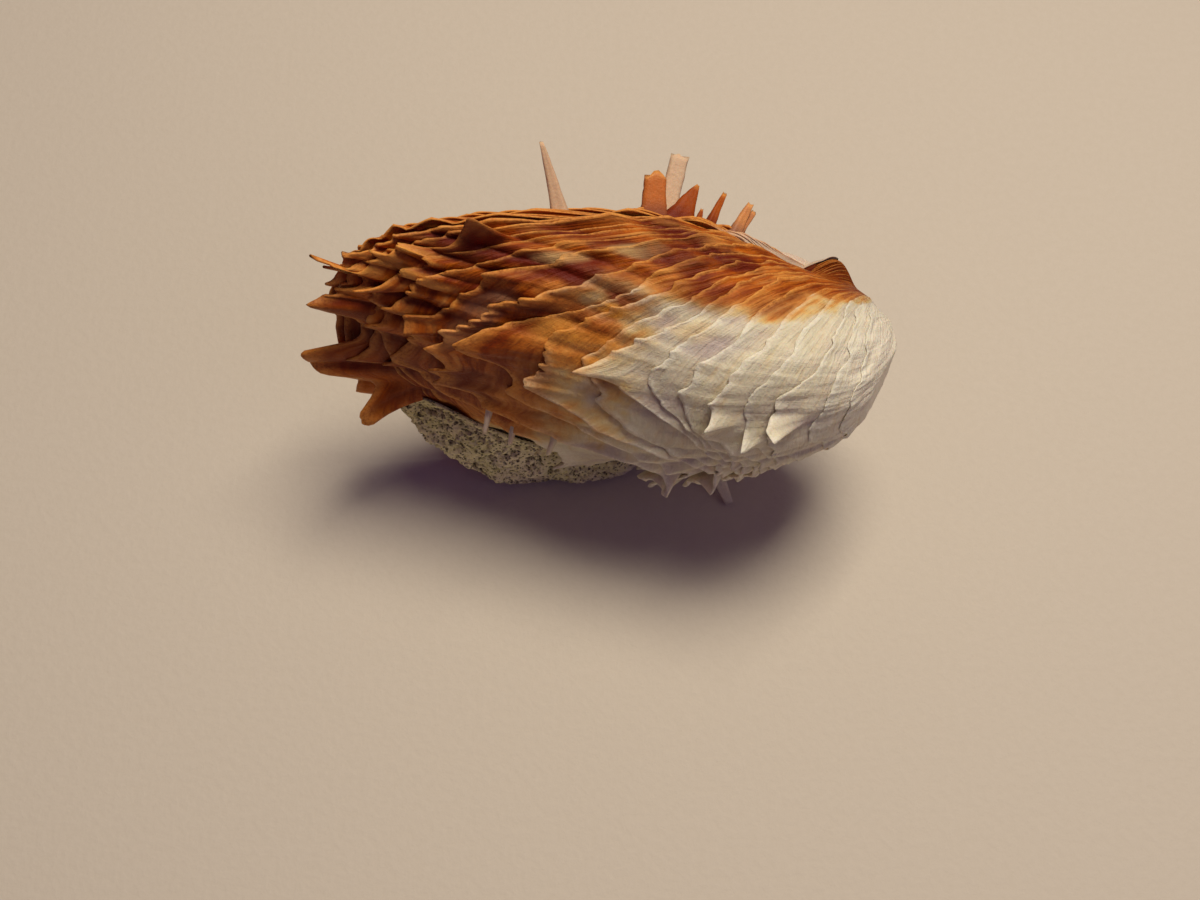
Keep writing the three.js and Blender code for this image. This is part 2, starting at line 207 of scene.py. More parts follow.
LOWER_SPINES = [
    # the ventral margin: a thin spine, a dark one, a broad scoop and a strap
    ((0.942, -0.19), (2.6, 8.5, -1.6), 2.6, 0.0),
    ((0.942, -0.09), (4.4, 6.1, -0.8), 3.6, 0.2),
    ((0.942, 0.03), (4.3, 7, -1.9), 7.0, 0.95),
    ((0.942, 0.11), (5.8, 2.3, 1.2), 3.6, 0.8),
    # squared frills at the front corner, and a crest
    ((0.942, -0.26), (1.5, 4.2, -2), 3.6, 0.6),
    ((0.942, -0.32), (2.4, 3.4, -2.2), 3.6, 0.6),
    ((0.942, -0.46), (5.6, 3.6, -2.6), 4.4, 0.2),
    ((0.942, -0.35), (1.6, 3.8, -1), 2.8, 0.0),
    # the front flank
    ((0.923, -0.19), (3.1, 3.5, 0.5), 2.8, 0.0),
    ((0.923, 0.01), (2.4, 4.2, -0.1), 2.4, 0.0),
    ((0.865, -0.29), (1.8, 3.4, -0.3), 3.0, 0.0),
    ((0.827, -0.36), (2.3, 2.8, 0.1), 3.0, 0.0),
    ((0.846, -0.11), (2.5, 2.5, 0.4), 2.8, 0.0),
    ((0.808, 0.01), (1.8, 2.4, 0.1), 3.2, 0.0),
    ((0.769, -0.16), (3.8, 4.1, 0), 6.5, 0.25),
    ((0.75, 0.06), (1.4, 2.7, -0.3), 3.4, 0.0),
    ((0.654, -0.21), (2.7, 2.7, 0.8), 3.0, 0.0),
    # the white underside near the beak
    ((0.423, -0.11), (3, 0.9, 0.1), 2.6, 0.0),
    ((0.462, -0.04), (2.5, 0.4, 0), 2.6, 0.0),
    ((0.5, -0.11), (2.4, 1.4, -0.2), 3.4, 0.0),
    ((0.519, 0.28), (3.6, 0.7, 0.4), 3.0, 0.0),
    ((0.577, 0.28), (4.3, 1, 0.4), 3.0, 0.0),
]
# Thin pale spines that point from the edge of a lamella to the coral.
STRUTS = [
    ((0.769, 0.06), (2.9, 0.4, 3.6)),
    ((0.75, 0.12), (2.4, 0.9, 3)),
    ((0.7, 0.13), (2.4, 1.4, 2.6)),
]
LOWER_FOOT = ((0.8, 0.66), (12.1, 0.3, 0.5), 2.8, 0.4)
# Each also says how pale it is: 0 is as dark as the wall, 1 is a pale pink.
UPPER_SPINES = [
    # the long ones that stand up past the front flank, and the small ones beside the ear
    ((0.865, -0.53), (8.2, 2.9, -0.4), 1.7, 0.25, 0.9),
    ((0.808, -0.62), (7.3, -0.6, -0.5), 2.3, 0.95, 1.0),
    ((0.852, -0.62), (4.7, -0.5, 0.7), 2.9, 0.9, 0.1),
    ((0.857, -0.66), (4.2, -2.4, 0), 3.2, 0.12, 0.0),
    ((0.822, -0.68), (1.6, -0.4, 0), 1.0, 0.3, 0.0),
    ((0.824, -0.7), (4, -1.7, 0), 1.2, 0.45, 0.0),
    ((0.765, -0.73), (3.7, -1.3, -0.1), 1.5, 0.5, 0.15),
    ((0.76, -0.73), (3, -2.2, -0.1), 1.4, 0.5, 0.15),
    # two feet on the back flank that the shell stands on
    ((0.88, 0.45), (7.4, 2, -1.7), 2.6, 0.4, 0.8),
    ((0.8, 0.65), (8.9, 3.4, 0.7), 2.6, 0.4, 0.8),
]
# Rows of shorter ones over the back flank.
BACK_SPINE_PLACES = (0.2, 0.36, 0.54, 0.72)
BACK_SPINE_STAGES = (0.55, 0.68, 0.8)
BACK_SPINE_LENGTH = 5
for i, place in enumerate(BACK_SPINE_PLACES):
    for k, stage in enumerate(BACK_SPINE_STAGES):
        reach = (BACK_SPINE_LENGTH + 1.2 * math.sin(5 * i + 2 * k), 2, 0.3)
        UPPER_SPINES.append(((stage - 0.03 * (i % 2), place), reach, 2.2, 0.3, 0.7))


# ------------------------------------------------------------ meshes

class Skin:
    """Quads and their attributes, gathered grid by grid into one closed or open mesh."""

    def __init__(self):
        self.points, self.faces, self.marks, self.count = [], [], {}, 0

    def grid(self, points, closed, **marks):
        """A grid of points (rows, columns, 3); closed joins its last column to its first."""
        rows, cols = points.shape[:2]
        index = self.count + np.arange(rows * cols).reshape(rows, cols)
        right = np.roll(index, -1, 1) if closed else index[:, 1:]
        left = index if closed else index[:, :-1]
        quads = np.stack([left[:-1], right[:-1], right[1:], left[1:]], -1)
        self.faces += quads.reshape(-1, 4).tolist()
        full = {key: np.broadcast_to(mark, (rows, cols)).ravel() for key, mark in marks.items()}
        self.add(points.reshape(-1, 3), full)
        return index

    def add(self, points, marks):
        self.points.append(points)
        for name in sorted(set(self.marks) | set(marks)):
            filled = self.marks.setdefault(name, [np.zeros(self.count)] if self.count else [])
            filled.append(marks.get(name, np.zeros(len(points))))
        self.count += len(points)

    def cap(self, ring, first):
        """Closes a ring of points with a fan round its middle."""
        points = np.vstack(self.points)[ring]
        marks = {k: np.array([np.concatenate(v)[ring].mean()]) for k, v in self.marks.items()}
        middle = self.count
        self.add(points.mean(0)[None], marks)
        for a, b in zip(ring, np.roll(ring, -1)):
            self.faces.append([middle, b, a] if first else [middle, a, b])

    def build(self, name, material, slot, node):
        mesh = bpy.data.meshes.new(name)
        mesh.from_pydata(to_world(np.vstack(self.points)).tolist(), [], self.faces)
        for key, parts in self.marks.items():
            attribute = mesh.attributes.new(key, "FLOAT", "POINT")
            attribute.data.foreach_set("value", np.concatenate(parts).astype(np.float32))
        mesh.polygons.foreach_set("use_smooth", np.ones(len(mesh.polygons), bool))
        mesh.validate()
        mesh.materials.append(material)
        piece = bpy.data.objects.new(name, mesh)
        bpy.context.scene.collection.objects.link(piece)
        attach(piece, "root")
        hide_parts(node)
        return piece


HINGE_COLUMNS = 14


def close_at_hinge(points):
    """Adds the straight hinge line, from the last column back to the first."""
    steps = (np.arange(1, HINGE_COLUMNS + 1) / (HINGE_COLUMNS + 1))[None, :, None]
    line = lerp(points[:, -1:], points[:, :1], steps)
    return np.concatenate([points, line], 1)


def wide(values, columns):
    """Marks for the loop's columns, carried on along the hinge line."""
    values = np.broadcast_to(values, (values.shape[0], columns))
    return np.concatenate([values, np.repeat(values[:, -1:], HINGE_COLUMNS, 1)], 1)


# Where the edges of the lamellae run on the lower valve. They sweep back towards the beak as
# they turn under the shell. Each row says, for a nominal stage, the stage at each place.
SWEEP_PLACES = (-1, -0.7, -0.45, -0.32, -0.2, -0.1, -0.05, 0, 0.05, 0.1, 0.15, 0.25, 0.5, 1)
SWEEP = {
    0.25: (0.25,) * 14,
    0.42: (0.42, 0.42, 0.39, 0.41, 0.43, 0.43, 0.43, 0.42, 0.41, 0.4, 0.385, 0.38, 0.4, 0.42),
    0.51: (0.51, 0.54, 0.51, 0.505, 0.5, 0.51, 0.5, 0.48, 0.455, 0.44, 0.43, 0.42, 0.46, 0.51),
    0.65: (0.65, 0.66, 0.62, 0.64, 0.65, 0.57, 0.535, 0.515, 0.5, 0.485, 0.475, 0.46, 0.55, 0.65),
    0.72: (0.72, 0.72, 0.68, 0.71, 0.72, 0.715, 0.69, 0.635, 0.57, 0.53, 0.515, 0.5, 0.62, 0.72),
    0.82: (0.82, 0.80, 0.75, 0.775, 0.8, 0.81, 0.815, 0.82, 0.80, 0.72, 0.63, 0.57, 0.72, 0.82),
    0.9: (0.9, 0.89, 0.875, 0.88, 0.89, 0.9, 0.9, 0.9, 0.89, 0.875, 0.85, 0.84, 0.87, 0.9),
    1: (1,) * 14,
}


def swept(stage, places):
    """The stage at each place of the edge whose nominal stage is given."""
    known = sorted(SWEEP)
    i = int(np.clip(np.searchsorted(known, stage) - 1, 0, len(known) - 2))
    part = (stage - known[i]) / (known[i + 1] - known[i])
    even = np.linspace(-1, 1, 401)
    stages = lerp(np.array(SWEEP[known[i]]), np.array(SWEEP[known[i + 1]]), part)
    line = np.interp(even, SWEEP_PLACES, stages)
    line = np.convolve(np.pad(line, 5, "edge"), np.ones(11) / 11, "valid")
    return np.interp(places, even, line)


class Lamellae:
    """How a valve's lamellae are shaped. Subclasses say how far the edges flare and fold."""

    rows_face = np.array([0, 0.15, 0.31, 0.47, 0.62, 0.75, 0.86, 0.94, 1])
    rows_under = np.array([0.9, 0.72])
    overhang = 0.3             # how much of the next lamella lies under this one's edge
    thickness = 0.34
    spines = []

    def __init__(self, valve, stages, places, ribs, seed):
        self.valve, self.stages, self.places = valve, stages, places
        self.ribs, self.seed = ribs, seed
        self.edges = [self.edge_stage(k) for k in range(len(stages))]
        self.tips = [self.owner(at) for at, *_ in self.spines]

    def edge_stage(self, k):
        stage = self.nominal(k)
        before = self.nominal(k - 1) if k else stage - 0.04
        room = (1 - np.abs(self.places) ** 4) * ease(0.995 - stage, 0, 0.08)
        wave = 0.32 * rough(self.places * 5, 7.3 * k, self.seed)
        wave = wave + 0.2 * rough(self.places * 16, 3.1 * k, self.seed)
        return stage + (stage - before) * room * wave

    def nominal(self, k):
        return np.full_like(self.places, self.stages[k])

    def owner(self, at):
        """The lamella whose edge passes nearest to a spine's foot."""
        middle = self.column(at[1])
        return int(np.argmin([abs(edge[middle] - at[0]) for edge in self.edges]))

    def column(self, place):
        return int(np.argmin(np.abs(self.places - place)))

    def rib(self, place):
        """The rib number at a place, a running number that is whole on each rib's crest."""
        return self.ribs * place / 2 + 0.5 * rough(place * 5, 0.5, self.seed + 3)

    def fold(self, stage):
        """Offset outwards of the ribs' folds, in mm."""
        u = self.rib(self.places) + 0.25 * rough(self.places * 6, stage * 6, self.seed + 7)
        crest = np.abs(np.cos(np.pi * u)) ** 0.8 - 0.6
        return crest * self.fold_depth(stage, self.places)

    def cusps(self, k):
        """How far each place of a lamella's edge stands out: 1 on a strong rib, low between."""
        u = self.rib(self.places) + 0.3 * rough(self.places * 4, k * 1.7, self.seed + 5)
        whole = np.floor(u)
        part = u - whole
        strong = np.random.default_rng(self.seed + 11 * k).uniform(-0.35, 1, 200).clip(0.06, 1)
        low, high = strong[whole.astype(int) + 100], strong[whole.astype(int) + 101]
        sharp = 3.4
        return low * (1 - part) ** sharp + high * part ** sharp

    def face(self, k):
        """Rows of one lamella: its outer face, then its edge, then its underside."""
        valve, places = self.valve, self.places
        start = np.full_like(places, FIRST_LAMELLA)
        if k:
            start = self.edges[k - 1] - self.overhang * (self.edges[k] - self.edges[k - 1])
        s = self.rows_face[:, None]
        stage = start + (self.edges[k] - start) * s
        point, out, growth, _ = valve.frame(stage, places[None])
        rise, reach = self.flare(k)
        lift = s ** 2.4
        ends = (1 - np.abs(places) ** 6) * (1 - notch_at(places))
        wave = (self.relief(stage) + self.fold(stage) * (0.55 + 0.45 * s)) * ends
        sunk = 0.3 * (1 - s) ** 4 * ends if k else 0
        top = point + out * (wave + lift * rise * ends - sunk)[..., None]
        top = top + growth * (lift ** 1.2 * reach * ends)[..., None]
        top = top + self.thorns(k, top[-1], s)
        top = close_at_hinge(top)
        across = np.roll(top, -1, 1) - np.roll(top, 1, 1)
        sheet = unit(np.cross(np.gradient(top, axis=0), across)) * -valve.side
        sheet = sheet * ease(1 - np.abs(wide(places[None], len(places))), 0, 0.05)[..., None]
        thin = np.minimum(1, 0.25 + wide(rise[None] * ends, len(places)) * 0.8)[..., None]
        thin = self.thickness * thin
        rim = [top[-1] - sheet[-1] * thin[0] * 0.5 + unit(top[-1] - top[-2]) * thin[0] * 0.3,
               top[-1] - sheet[-1] * thin[0]]
        inner = top - sheet * thin * 0.9
        under = [lerp_rows(inner, self.rows_face, row) for row in self.rows_under]
        points = np.concatenate([top, np.stack(rim + under)])
        tail = 2 + len(under)
        edge = np.concatenate([self.rows_face, np.ones(2), self.rows_under])
        marks = dict(
            stage=wide(np.concatenate([stage, np.repeat(stage[-1:], tail, 0)]), len(places)),
            place=wide(np.broadcast_to(places, (len(points), len(places))), len(places)),
            edge=edge[:, None],
            lump=wide(np.concatenate([wave, np.repeat(wave[-1:], tail, 0)]), len(places)),
        )
        return points, marks

    def thorns(self, k, edge, s):
        """Pulls a lamella's face out to the tips of the spines that stand on it."""
        moved = np.zeros((len(s), len(self.places), 3))
        for owner, (at, reach, width, blunt) in zip(self.tips, self.spines):
            if k != owner:
                continue
            middle = self.column(at[1])
            way = self.valve.reach(at, reach) - edge[middle]
            step = np.linalg.norm(edge - edge[middle], axis=-1)
            x = step / (0.5 * width * 1.45)
            sharp = np.clip(1.1 - np.hypot(x, 0.1), 0, 1) ** 1.6
            flat = 1 / (1 + (x * 1.45) ** 8)
            profile = lerp(sharp, flat, blunt)
            moved += way * (profile * s ** 2.6)[..., None]
        return moved


def lerp_rows(grid, rows, at):
    i = int(np.searchsorted(rows, at)) - 1
    return lerp(grid[i], grid[i + 1], (at - rows[i]) / (rows[i + 1] - rows[i]))


FIRST_LAMELLA = 0.27                      # the stage where the first lamella starts
SCAR = dict(at=(0.2, 0.02), depth=0.6, radius=8.0)

# The coral is a lens over an oval patch of the lower valve. It hangs on its lower side, is
# thicker ahead, on the side of the margin, and its crown leans that way.
CORAL = dict(stage=0.89, place=0.37, stage_span=0.09, place_span=0.25, height=4.65,
             hang=0.42, ahead=0.35, lean=0.3, clearance=0.32)

# The strong edges of the lower valve: nominal stage, then the middle and the half length of
# the strong stretch, in places, and how far it rises and reaches there, in mm.
STRONG_EDGES = [
    (0.42, -0.2, 0.22, 0.5, 0.7),
    (0.51, -0.2, 0.26, 0.6, 1.0),
    (0.65, -0.2, 0.14, 0.5, 0.6),
    (0.72, -0.06, 0.18, 1.0, 1.4),
    (0.82, -0.15, 0.3, 1.5, 1.5),
]


class LowerLamellae(Lamellae):
    spines = LOWER_SPINES

    def nominal(self, k):
        return swept(self.stages[k], self.places)

    def relief(self, stage):
        """Bumps of the wall, in mm: slow swells, growth lines, lumps, and chalky young shell."""
        p = self.places[None]
        slow = 0.35 * rougher(p * 6, stage * 9, 4) + 0.28 * rougher(p * 11, stage * 16, 12)
        lines = (0.1 + 0.14 * bell(p, -0.65, 0.3)) * rough(p * 7, stage * 95, 8)
        lines = lines * ease(stage, 0.4, 0.7)
        lumps = 0.34 * rougher(p * 20, stage * 26, 6) * ease(stage, 0.55, 0.75)
        chalk = 0.13 * rougher(p * 26, stage * 26, 9) * ease(0.6 - stage, 0, 0.3)
        return slow + lines + lumps + chalk

    def fold_depth(self, stage, p):
        """Depth of the ribs' folds, in mm."""
        front = bell(p, -0.12, 0.3)
        flank = bell(p, -0.5, 0.25) * ease(stage, 0.6, 0.8)
        low = bell(p, 0.2, 0.2) * bell(stage, 0.5, 0.15)
        return 0.06 + 1.1 * ease(stage, 0.78, 0.92) * front + 0.4 * flank + 0.35 * low

    def flare(self, k):
        """Rise outwards and reach towards the margin of one lamella's edge, in mm."""
        p, stage = self.places, self.edges[k]
        nominal = self.stages[k]
        from_coral = np.hypot((stage - CORAL["stage"]) / CORAL["stage_span"],
                              (p - CORAL["place"]) / CORAL["place_span"])
        bare = ease(from_coral, 1.1, 1.5)
        cusp = self.cusps(k)
        left = bell(p, -0.1, 0.3) * ease(stage, 0.78, 0.88)
        low = bell(p, 0.3, 0.25) * ease(stage, 0.34, 0.5)
        skirt = bell(p, 0.41, 0.15) * ease(stage, 0.38, 0.55)
        brim = ease(nominal, 0.95, 0.98) * bell(p, -0.5, 0.28)
        rise = (0.16 + 0.25 * cusp + left * (0.5 + 0.9 * cusp) + low * (0.5 + 0.8 * cusp)
                + skirt * (2.3 + 1.3 * cusp) + brim * (0.5 + 1.3 * cusp))
        reach = (0.3 + 0.5 * cusp + left * (0.9 + 2.4 * cusp) + low * (0.4 + 0.9 * cusp)
                 + skirt * (1.0 + 1.2 * cusp))
        for at, middle, half, up, forward in STRONG_EDGES:
            if at == nominal:
                strength = bell(p, middle, half) ** 0.7
                rise = rise + up * strength * (0.8 + 0.4 * cusp)
                reach = reach + forward * strength * (0.7 + 0.7 * cusp)
        ragged = 1 + 0.35 * rough(p * 70, k * 5.1, 2) + 0.35 * rough(p * 25, k * 2.3, 3)
        torn = 0.22 * rough(p * 90, k * 1.9, 4) * ease(stage, 0.5, 0.7)
        young = lerp(0.55, 1, ease(stage + 0.3 * ease(p, 0.0, 0.25), 0.42, 0.6))
        reach = (reach * ragged * young + torn) * bare * ease(1.03 - stage, 0, 0.06)
        return rise * bare * young, reach


class UpperLamellae(Lamellae):
    def relief(self, stage):
        p = self.places[None]
        return 0.25 * rougher(p * 6, stage * 9, 14) + 0.12 * rough(p * 7, stage * 90, 18)

    def fold_depth(self, stage, p):
        return 0.2 + 0.5 * ease(stage, 0.3, 0.8)

    def flare(self, k):
        stage = self.stages[k]
        cusp = self.cusps(k)
        grown = ease(stage, 0.3, 0.85)
        rise = (0.3 + 0.7 * cusp) * lerp(0.5, 1, grown)
        reach = (0.3 + 0.8 * cusp) * lerp(0.5, 1, grown) * ease(1.03 - stage, 0, 0.06)
        return rise, reach


# ------------------------------------------------------------ spines as tubes

def tube(skin, valve, at, reach, width, blunt, pale=0.0, thickness=1.5, rings=13, sides=14):
    """A spine of its own: a flattened, fluted, slightly curved cone rooted in the wall."""
    point, out, growth, along = valve.frame(*at)
    way = out * reach[0] + growth * reach[1] + along * reach[2]
    root, tip = point - out * 0.9, point + way
    middle = point + way * 0.5 + out * reach[0] * 0.06
    flat = unit(along - way * (along @ way) / (way @ way))
    thin = unit(np.cross(flat, way))
    s = np.linspace(0, 1, rings)[:, None]
    line = (1 - s) ** 2 * root + 2 * s * (1 - s) * middle + s ** 2 * tip
    size = lerp(1, blunt, s ** 1.4) * (1 + 0.5 * (1 - s) ** 5)
    angle = np.linspace(0, 2 * math.pi, sides, endpoint=False)[None]
    flute = 1 - 0.45 * bell(angle, 1.5 * math.pi, 0.6) + 0.06 * np.cos(5 * angle)
    grow = 1 + 0.08 * rough(s * 9, angle * 2, int(100 * at[0]))
    torn = 0.7 * blunt * (1 - 0.7 * pale) * rough(angle * 1.6, 10 * reach[0], 21) * s ** 9
    wide_part = np.cos(angle) * width / 2 * size * grow
    thin_part = np.sin(angle) * flute * thickness / 2 * np.maximum(size, 0.3) * grow
    points = line[:, None] + flat * wide_part[..., None] + thin * thin_part[..., None]
    points = points + unit(way) * torn[..., None]
    index = skin.grid(points, True, stage=at[0], place=at[1], edge=s, pale=pale)
    skin.cap(index[0], True)
    skin.cap(index[-1], False)


# ------------------------------------------------------------ the two valves

INNER_ROWS = 5
INNER_SCALE = (0.94, 0.8)                 # size of the hollow in each loop: at the rim, at its end


def beak_rows(valve, places, seed, stages, chalky):
    """The smooth young shell, before the first lamella."""
    stage = np.array(stages)[:, None]
    point, out, _, _ = valve.frame(stage, places[None])
    ends = 1 - np.abs(places) ** 6
    lumps = 0.3 * rougher(places * 8, stage * 14, seed)
    lumps = lumps + 0.1 * rougher(places * 40, stage * 50, seed + 1)
    return point + out * (chalky * lumps * ends * ease(stage, 0.03, 0.15))[..., None], stage


def inner_rows(valve, places, last):
    """The wall of the hollow, from the margin in to the loop at stage `last`."""
    stage = np.linspace(1, last, INNER_ROWS)
    rows = []
    for t, scale in zip(stage, np.linspace(*INNER_SCALE, INNER_ROWS)):
        middle = (catmull(valve.dorsal, np.array(t)) + catmull(valve.ventral, np.array(t))) / 2
        centre = np.array([middle[0], 0, middle[1]])
        rows.append((valve.point(t, places) - centre) * scale + centre)
    return np.stack(rows), stage[:, None]


def smooth_marks(stage, places):
    """The marks of rows without a lamella's edge."""
    even = np.zeros((len(stage), 1))
    columns = len(places)
    return dict(stage=wide(stage, columns), place=wide(places[None].repeat(len(stage), 0), columns),
                edge=even, lump=even)


def flatten_scar(points):
    """Grinds the wall down to a plane where the lower valve was cemented to the rock."""
    point, out, _, _ = LOWER.frame(*SCAR["at"])
    flat = point - out * SCAR["depth"]
    height = (points - flat) @ out
    near = np.linalg.norm(points - point, axis=-1) < SCAR["radius"]
    cut = np.where(near & (height > 0), height, 0)
    return points - cut[..., None] * out


def unchanged(points):
    return points


def valve_skin(shape, beak, chalky, last_inner, finish_rows=unchanged):
    """A closed skin: the beak, the lamellae one after the other, and the wall of the hollow."""
    valve, places = shape.valve, shape.places
    skin = Skin()
    grids, marks = [], []
    points, stage = beak_rows(valve, places, shape.seed, beak, chalky)
    grids.append(finish_rows(close_at_hinge(points)))
    marks.append(smooth_marks(stage, places))
    for k in range(len(shape.stages)):
        points, mark = shape.face(k)
        grids.append(finish_rows(points))
        marks.append(mark)
    points, stage = inner_rows(valve, places, last_inner)
    grids.append(close_at_hinge(points))
    marks.append(smooth_marks(stage, places))
    joined = {}
    for key in marks[0]:
        rows = [np.broadcast_to(mark[key], grid.shape[:2]) for mark, grid in zip(marks, grids)]
        joined[key] = np.concatenate(rows)
    index = skin.grid(np.concatenate(grids), True, **joined)
    skin.cap(index[0], True)
    skin.cap(index[-1], False)
    return skin


def spread(parts):
    """Places along the loop, closer together where the shell shows more: (from, to, count)."""
    runs = [np.linspace(a, b, n, endpoint=False) for a, b, n in parts]
    return np.concatenate(runs + [[parts[-1][1]]])


# Nominal stages of the lamellae's edges, and the stages of the rows of the smooth young shell.
LOWER_STAGES = [0.31, 0.365, 0.42, 0.465, 0.51, 0.565, 0.61, 0.65, 0.685, 0.72, 0.77, 0.82,
                0.86, 0.895, 0.92, 0.945, 0.97, 0.99]
UPPER_STAGES = [0.3, 0.4, 0.49, 0.57, 0.64, 0.7, 0.755, 0.805, 0.85, 0.89, 0.925, 0.96, 0.99]
LOWER_BEAK_STAGES = [0.02, 0.04, 0.06, 0.085, 0.11, 0.135, 0.16, 0.185, 0.21, 0.235, 0.258]
UPPER_BEAK_STAGES = [0.04 + 0.02 * i for i in range(11)]


def lower_valve(material):
    places = spread([(-1, -0.9, 16), (-0.9, 0.45, 270), (0.45, 1, 70)])
    shape = LowerLamellae(LOWER, LOWER_STAGES, places, 30, 1)
    skin = valve_skin(shape, LOWER_BEAK_STAGES, 1.0, 0.55, flatten_scar)
    tube(skin, LOWER, *LOWER_FOOT, pale=0.8)
    for at, reach in STRUTS:
        tube(skin, LOWER, at, reach, 1.3, 0.5, pale=0.8, thickness=1.0, rings=9, sides=8)
    return skin.build("lower_valve_shell", material, "lower_shell", "lower_valve")


def upper_valve(material):
    places = spread([(-1, 1, 300)])
    shape = UpperLamellae(UPPER, UPPER_STAGES, places, 26, 2)
    skin = valve_skin(shape, UPPER_BEAK_STAGES, 0.5, 0.45)
    for spine in UPPER_SPINES:
        tube(skin, UPPER, *spine)
    return skin.build("upper_valve_shell", material, "upper_shell", "upper_valve")


# ------------------------------------------------------------ coral and ligament

def coral(material):
    """A porous lump that fills an oval patch of the lower valve."""
    skin = Skin()
    rows, turns = 100, 380
    around = np.linspace(0, 2 * math.pi, turns, endpoint=False)[None]
    r = np.concatenate([np.linspace(0.02, 0.985, rows), np.linspace(1, 0.15, 6)])[:, None]
    top = (np.arange(len(r)) < rows)[:, None]
    stage = CORAL["stage"] + CORAL["stage_span"] * r * np.cos(around)
    place = CORAL["place"] + CORAL["place_span"] * r * np.sin(around)
    point, out, growth, _ = LOWER.frame(stage, place)
    lumps = 1 + 0.12 * np.sin(3 * around + 1) * r + 0.1 * np.sin(5 * around) * r
    upper_side = bell(r * np.cos(around + 0.5 * math.pi), 0.75, 0.35)
    sunk = 1.2 * upper_side * bell(r * np.cos(around), 0.0, 0.6)
    bulge = 1 + r * (CORAL["hang"] * np.sin(around) + CORAL["ahead"] * np.cos(around))
    dome = CORAL["height"] * np.sqrt(np.clip(1 - r ** 4, 0, 1))
    height = np.where(top, dome * bulge * lumps, 0)
    points = point + out * (CORAL["clearance"] + height)[..., None]
    points = points + growth * (height * CORAL["lean"])[..., None]
    across = np.roll(points, -1, 1) - np.roll(points, 1, 1)
    surface = unit(np.cross(np.gradient(points, axis=0), across))
    surface = surface * np.sign((surface * out).sum(-1, keepdims=True) + 1e-6)
    deep = np.array([pore_depth(Vector(p)) for p in points.reshape(-1, 3)])
    deep = deep.reshape(points.shape[:2])
    crust = ease(r * np.sin(around + 0.3), 0.55, 0.85)
    deep = deep * np.where(top, ease(1 - r, 0, 0.06) * (1 - 0.7 * crust), 0)
    inwards = 1.1 * np.maximum(deep, 0) + 0.08 + np.where(top, sunk, 0)
    points = points - surface * inwards[..., None]
    index = skin.grid(points, True, pore=deep, crust=crust, high=-np.sin(around) * r,
                      ahead=np.cos(around) * r)
    skin.cap(index[0], True)
    skin.cap(index[-1], False)
    return skin.build("coral_remnant_lump", material, "coral", "coral_remnant")


def pore_depth(p):
    """0 on the walls between pores, 1 at the bottom of one."""
    cells, _ = noise.voronoi(p * 1.05)
    lump = noise.noise(p * 0.45)
    strength = min(max(0.6 + 1.3 * lump, 0.15), 1)
    open_part = min(max((0.5 - cells[0]) / 0.3, 0), 1)
    return open_part * strength + 0.5 + 0.6 * noise.noise(p * 0.32) + 0.3 * noise.noise(p * 1.1)


def ligament(material):
    """The dark ridged strip at the hinge."""
    skin = Skin()
    rings, sides = 60, 24
    s = np.linspace(0, 1, rings)[:, None]
    angle = np.linspace(0, 2 * math.pi, sides, endpoint=False)[None]
    half = (HIGH[0] - LOW[0]) / MM / 2
    length = (HIGH[2] - LOW[2]) / MM
    ends = np.sqrt(np.clip(1 - (2 * s - 1) ** 8, 0.02, 1))
    ridges = 0.09 * np.sin(s * 110) * np.sin(angle) ** 2
    radius = half * 0.92 * ends * (1 + ridges + 0.08 * rough(s * 20, angle * 2, 30))
    x = LIGAMENT_AT[0] + radius * np.cos(angle)
    y = (s - 0.5) * length * 0.98 + 0 * angle
    z = LIGAMENT_AT[2] + radius * np.sin(angle)
    index = skin.grid(np.stack([x, y, z], -1), True, ridge=s + 0 * angle)
    skin.cap(index[0], False)
    skin.cap(index[-1], True)
    return skin.build("ligament_strip", material, "ligament", "ligament")


# ------------------------------------------------------------ materials

